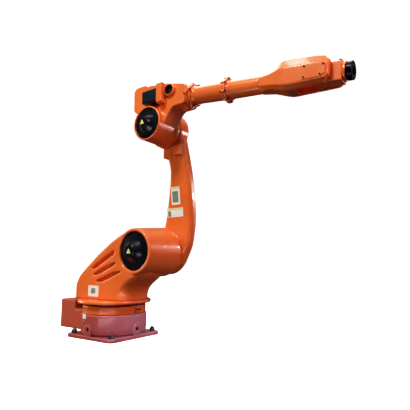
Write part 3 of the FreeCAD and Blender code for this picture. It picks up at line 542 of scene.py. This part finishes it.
motor_cover_details("shoulder", "turret", SHOULDER, "turret_casting", 126, 58)
TURRET_LABEL = (118, 82, 1.4, 8)
TURRET_LABEL_PANEL = (50, 40, 0.7, 12, 0.3)
turret_label = facing((-0.073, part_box("turret_casting")[0].y, 0.335), -SIDE)
piece("turret_label", "turret", VINYL,
      [(rounded_plate, turret_label, *TURRET_LABEL)])
piece("turret_label_panel", "turret", GREY_VINYL,
      [(rounded_plate, moved(turret_label, 0, 2, 1.2), *TURRET_LABEL_PANEL)])

# --- lower arm --------------------------------------------------------------------------------
cast("lower_arm", 5.0, 6)
mesh = bmesh.new()
mesh.from_mesh(nodes["lower_arm"].data)
arm_surface = BVHTree.FromBMesh(mesh)
mesh.free()

# The two labels on the inner face, each with a plain band at the top and a plain field: name,
# where, width, height and the field's width.
ARM_LABELS = (("arm_label_tall", 0.4675, 1.0525, 85, 139, 58),
              ("arm_label_wide", 0.4505, 0.9255, 159, 69, 30))
for name, x, z, width, tall, field_wide in ARM_LABELS:
    spot, way, _, _ = arm_surface.ray_cast(Vector((x, 0, z)), SIDE)
    lie = facing(spot, way)
    band = moved(lie, 0, tall / 2 - 9, 1.4)
    field = moved(lie, (field_wide - width) / 2 + 12, -8, 1.4)
    piece(name, "lower_arm", VINYL, [(rounded_plate, lie, width, tall, 1.5, 6)])
    piece(name + "_band", "lower_arm", YELLOW_VINYL,
          [(rounded_plate, band, width - 6, 12, 0.5, 2, 0.2)])
    piece(name + "_field", "lower_arm", GREY_VINYL,
          [(rounded_plate, field, field_wide, tall * 0.62, 0.5, 3, 0.2)])

# screws of the gear units on the outer face, sunk until their heads stand a little proud
HUB_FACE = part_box("lower_arm")[1].y
hub = facing((SHOULDER.x, HUB_FACE, SHOULDER.z), SIDE)
piece("shoulder_gear_screws", "lower_arm", BLACK_OXIDE,
      [(screw_ring, moved(hub, 0, 0, -6), 118, 12, 8)])

WELL_OUTSIDE = 0.6
head, _, _, _ = arm_surface.ray_cast(Vector((ELBOW.x, WELL_OUTSIDE, ELBOW.z)), -SIDE)
gear = facing(head, SIDE)
GEAR_R = 92
piece("elbow_gear_cover", "lower_arm", ORANGE, [
    (lathe, gear, [
        (GEAR_R, -3), (GEAR_R, 0.4), (GEAR_R - 2.5, 2), (GEAR_R - 22, 2), (GEAR_R - 26, -0.5),
        (0, -0.5)], 96)])
piece("elbow_gear_screws", "lower_arm", BLACK_OXIDE,
      [(screw_ring, moved(gear, 0, 0, -3), GEAR_R - 12, 10, 8)])

# --- elbow ------------------------------------------------------------------------------------
cast("elbow_casting", 4.2, 5)
cast("rear_cover", 3.8, 4)
cast("motor_mount", 2.6, 4)
cast("wrist_motor", 2.6, 3)
cast("cable_bushing", 1.6, 3)
cast("elbow_nose_ring", 2.2, 4)

motor = middle("wrist_motor")
motor.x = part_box("wrist_motor")[0].x
motor_end = facing(motor, -FRONT)
CAP_THICK = 5
piece("motor_end_cap", "elbow", MOTOR_BLACK,
      [(rounded_plate, motor_end, 88, 88, CAP_THICK, 14, 2)])
screws("motor_end_screws", "elbow", 5,
       [moved(motor_end, y, z, CAP_THICK) for y in (-36, 36) for z in (-36, 36)])

bushing_low, bushing_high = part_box("cable_bushing")
bushing_r = (bushing_high.x - bushing_low.x) / 2 / MM
bushing = middle("cable_bushing")
bushing.y = bushing_low.y
piece("bushing_sleeve", "elbow", RUBBER, [
    (lathe, facing(bushing, -SIDE), [
        (bushing_r - 11.4, -21), (bushing_r - 11.4, 0.6), (bushing_r - 8, 1), (bushing_r - 8, 2.6),
        (bushing_r - 14, 2.6), (bushing_r - 15, 1), (bushing_r - 15, -16), (0, -16)], 48)])
motor_cover_details("elbow", "elbow", ELBOW, "elbow_casting", 104, 52)

# --- forearm and wrist ------------------------------------------------------------------------
cast("forearm_flange", 2.2, 3)
cast("rear_tube", 3.6, 3)
cast("joint_flange_rear", 2.0, 3)
cast("joint_flange_front", 2.0, 3)
cast("front_tube", 3.0, 3)
cast("wrist_housing", 3.3, 4)
cast("wrist_tilt_body", 2.6, 10)
cast("wrist_nose", 2.0, 3)

# screws in the ears of the two big rings, whose heads face away from each other
BIG_EAR_R = 81
NOSE_EARS = (-8, 172, 90, 270)
FLANGE_EARS = (14, 194, 104, 284)
screws("nose_ring_screws", "elbow", 9, [
    facing(on_forearm(span("elbow_nose_ring")[0], BIG_EAR_R, turn), -AHEAD, SIDE)
    for turn in NOSE_EARS])
screws("forearm_flange_screws", "forearm", 9, [
    facing(on_forearm(span("forearm_flange")[1], BIG_EAR_R, turn), AHEAD, SIDE)
    for turn in FLANGE_EARS])

# screws through the tube joint, a head on either side in each ear
SMALL_EAR_R = 77.5
screws("joint_screws", "forearm", 8, [
    facing(on_forearm(along, SMALL_EAR_R, turn), way, SIDE)
    for along, way in ((span("joint_flange_front")[1], AHEAD),
                       (span("joint_flange_rear")[0], -AHEAD))
    for turn in range(22, 360, 45)])

# the side covers' four corners: along the forearm, and up from its axis
COVER_CORNERS = ((1182, 27), (1182, -37), (1294, 24), (1278, -33))
for tag, way, face_y in (("right", -SIDE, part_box("wrist_side_cover_right")[0].y),
                         ("left", SIDE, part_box("wrist_side_cover_left")[1].y)):
    corners = [on_forearm(along, up) for along, up in COVER_CORNERS]
    screws("wrist_cover_screws_" + tag, "forearm", 6,
           [facing((corner.x, face_y, corner.z), way) for corner in corners])
TILT_LID_AT, TILT_LID_UP = 1364, 54
screws("tilt_cover_screws", "wrist", 12, [
    facing(on_forearm(TILT_LID_AT, TILT_LID_UP) + SIDE * y * MM, FOREARM_UP, AHEAD)
    for y in (-24, 24)])

# the tool flange's own screws on a 62 mm circle, and its locating pin on the 80 mm one
FLANGE_SCREW_R = 31
DOWEL_R = 40
DOWEL = [(4, -2), (4, 0.4), (3.4, 0.9), (0, 0.9)]
tool_face = facing(TOOL, AHEAD, SIDE)
piece("flange_screws", "tool", ZINC,
      [(screw_ring, moved(tool_face, 0, 0, -4.2), FLANGE_SCREW_R, 6, 5, 15)])
piece("flange_dowel", "tool", ZINC,
      [(lathe, moved(tool_face, *(spoke(45) * DOWEL_R)), DOWEL, 20)])

# --- floor ------------------------------------------------------------------------------------
# pale to the eye; darker and warm in what it throws back onto the arm's underside
FLOOR_HALF = 30
mesh = bmesh.new()
mesh.faces.new([mesh.verts.new((x * FLOOR_HALF, y * FLOOR_HALF, 0))
                for x, y in ((-1, -1), (1, -1), (1, 1), (-1, 1))])
floor_data = bpy.data.meshes.new("floor")
mesh.to_mesh(floor_data)
mesh.free()
floor = bpy.data.objects.new("floor", floor_data)
bpy.context.scene.collection.objects.link(floor)
paint, tree, _ = bare("pale_floor")
warm = add(tree, "ShaderNodeBsdfPrincipled", {"Base Color": linear("#564840"), "Roughness": 0.6})
paper = add(tree, "ShaderNodeBsdfPrincipled", {
    "Base Color": linear("#f4f3f1"), "Roughness": 0.8, "Emission Color": linear("#ffffff"),
    "Emission Strength": 1.1})
seen = add(tree, "ShaderNodeLightPath", {}).outputs["Is Camera Ray"]
both = add(tree, "ShaderNodeMixShader", {
    0: seen, 1: warm.outputs["BSDF"], 2: paper.outputs["BSDF"]})
add(tree, "ShaderNodeOutputMaterial", {"Surface": both.outputs["Shader"]})
floor.data.materials.append(paint)


# --- light ------------------------------------------------------------------------------------
def lamp(name, place, aim, size, power, colour="#ffffff", paint=True, gloss=True):
    """A soft rectangular studio light of that many watts, pointed at a spot. It can be kept off
    the paint itself, or out of the reflections in its gloss."""
    light = bpy.data.lights.new(name, "AREA")
    light.shape = "RECTANGLE"
    light.size, light.size_y = size
    light.energy = power
    light.color = linear(colour)[:3]
    obj = bpy.data.objects.new(name, light)
    obj.location = place
    obj.rotation_euler = (Vector(aim) - Vector(place)).to_track_quat("-Z", "Y").to_euler()
    obj.visible_camera = False
    obj.visible_diffuse = paint
    obj.visible_glossy = gloss
    bpy.context.scene.collection.objects.link(obj)


lamp("overhead", (0.4, 0.95, 4.4), (0.6, 0, 0.9), (3.4, 2.4), 84)
lamp("key", (0.3, -4.6, 6.1), (0.5, 0, 0.9), (1.9, 1.5), 315, "#fff6ea")
lamp("front_fill", (-1.5, -4.6, 1.9), (0.3, 0, 0.7), (2.0, 1.4), 62, "#ffeede", gloss=False)
lamp("right_fill", (5.0, -0.5, 3.0), (0.5, 0, 0.9), (1.5, 2.0), 118, "#ffc8d2")
lamp("left_fill", (-4.6, -0.9, 1.6), (0.3, 0, 0.9), (2.2, 1.8), 70, "#ffe6da")
# these only draw streaks and soft patches in the gloss
lamp("back_panel", (2.8, 4.3, 1.3), (0.3, 0, 0.7), (4.0, 1.8), 54, "#ffccc4", paint=False)
lamp("strip", (2.9, 3.0, 1.72), (0.45, 0, 0.65), (0.9, 0.1), 26, paint=False)
lamp("small_panel", (0.97, -0.5, 3.9), (1.5, -0.08, 1.75), (0.3, 0.22), 2.4, paint=False)
lamp("low_panel", (0.7, -1.2, 0.01), (0.7, -1.2, 1.0), (1.4, 0.7), 20, "#f4dce4", paint=False)

# air that lights the arm from brown at the horizon to white above, and looks plain white
world = bpy.data.worlds.new("studio")
world.use_nodes = True
tree = world.node_tree
tree.nodes.clear()
around = add(tree, "ShaderNodeTexCoord", {}).outputs["Generated"]
height = add(tree, "ShaderNodeSeparateXYZ", {"Vector": around}).outputs["Z"]
share = add(tree, "ShaderNodeMapRange", {"Value": height, "From Max": 0.7}).outputs["Result"]
sky = add(tree, "ShaderNodeMix", {
    SHARE: share, FIRST: linear("#7a4c3e"), SECOND: linear("#ffffff")},
    data_type="RGBA").outputs[MIXED]
air = add(tree, "ShaderNodeBackground", {"Color": sky, "Strength": 0.2})
clean = add(tree, "ShaderNodeBackground", {"Color": linear("#ffffff"), "Strength": 1.05})
seen = add(tree, "ShaderNodeLightPath", {}).outputs["Is Camera Ray"]
both = add(tree, "ShaderNodeMixShader", {
    0: seen, 1: air.outputs["Background"], 2: clean.outputs["Background"]})
add(tree, "ShaderNodeOutputWorld", {"Surface": both.outputs["Shader"]})
bpy.context.scene.world = world

# a tone curve that deepens the shadows and lifts the light tones a little
TONE_CURVE = ((0.02, 0.010), (0.06, 0.042), (0.15, 0.125), (0.32, 0.32), (0.6, 0.66))
look = bpy.context.scene.view_settings
look.view_transform = "Standard"
look.use_curve_mapping = True
for level, shown in TONE_CURVE:
    look.curve_mapping.curves[3].points.new(level, shown)
look.curve_mapping.update()

# --- camera -----------------------------------------------------------------------------------
TURN = math.radians(35.64)
RISE = math.radians(8.23)
camera = bpy.data.objects.new("camera", bpy.data.cameras.new("camera"))
camera.location = (2.4075, -2.1625, 0.545)
forward = Vector((-math.sin(TURN) * math.cos(RISE), math.cos(TURN) * math.cos(RISE),
                  math.sin(RISE)))
camera.rotation_euler = forward.to_track_quat("-Z", "Y").to_euler()
FRAME_WIDE = 36
camera.data.sensor_width = FRAME_WIDE
camera.data.lens = FRAME_WIDE * 400 / 410
bpy.context.scene.collection.objects.link(camera)
bpy.context.scene.camera = camera
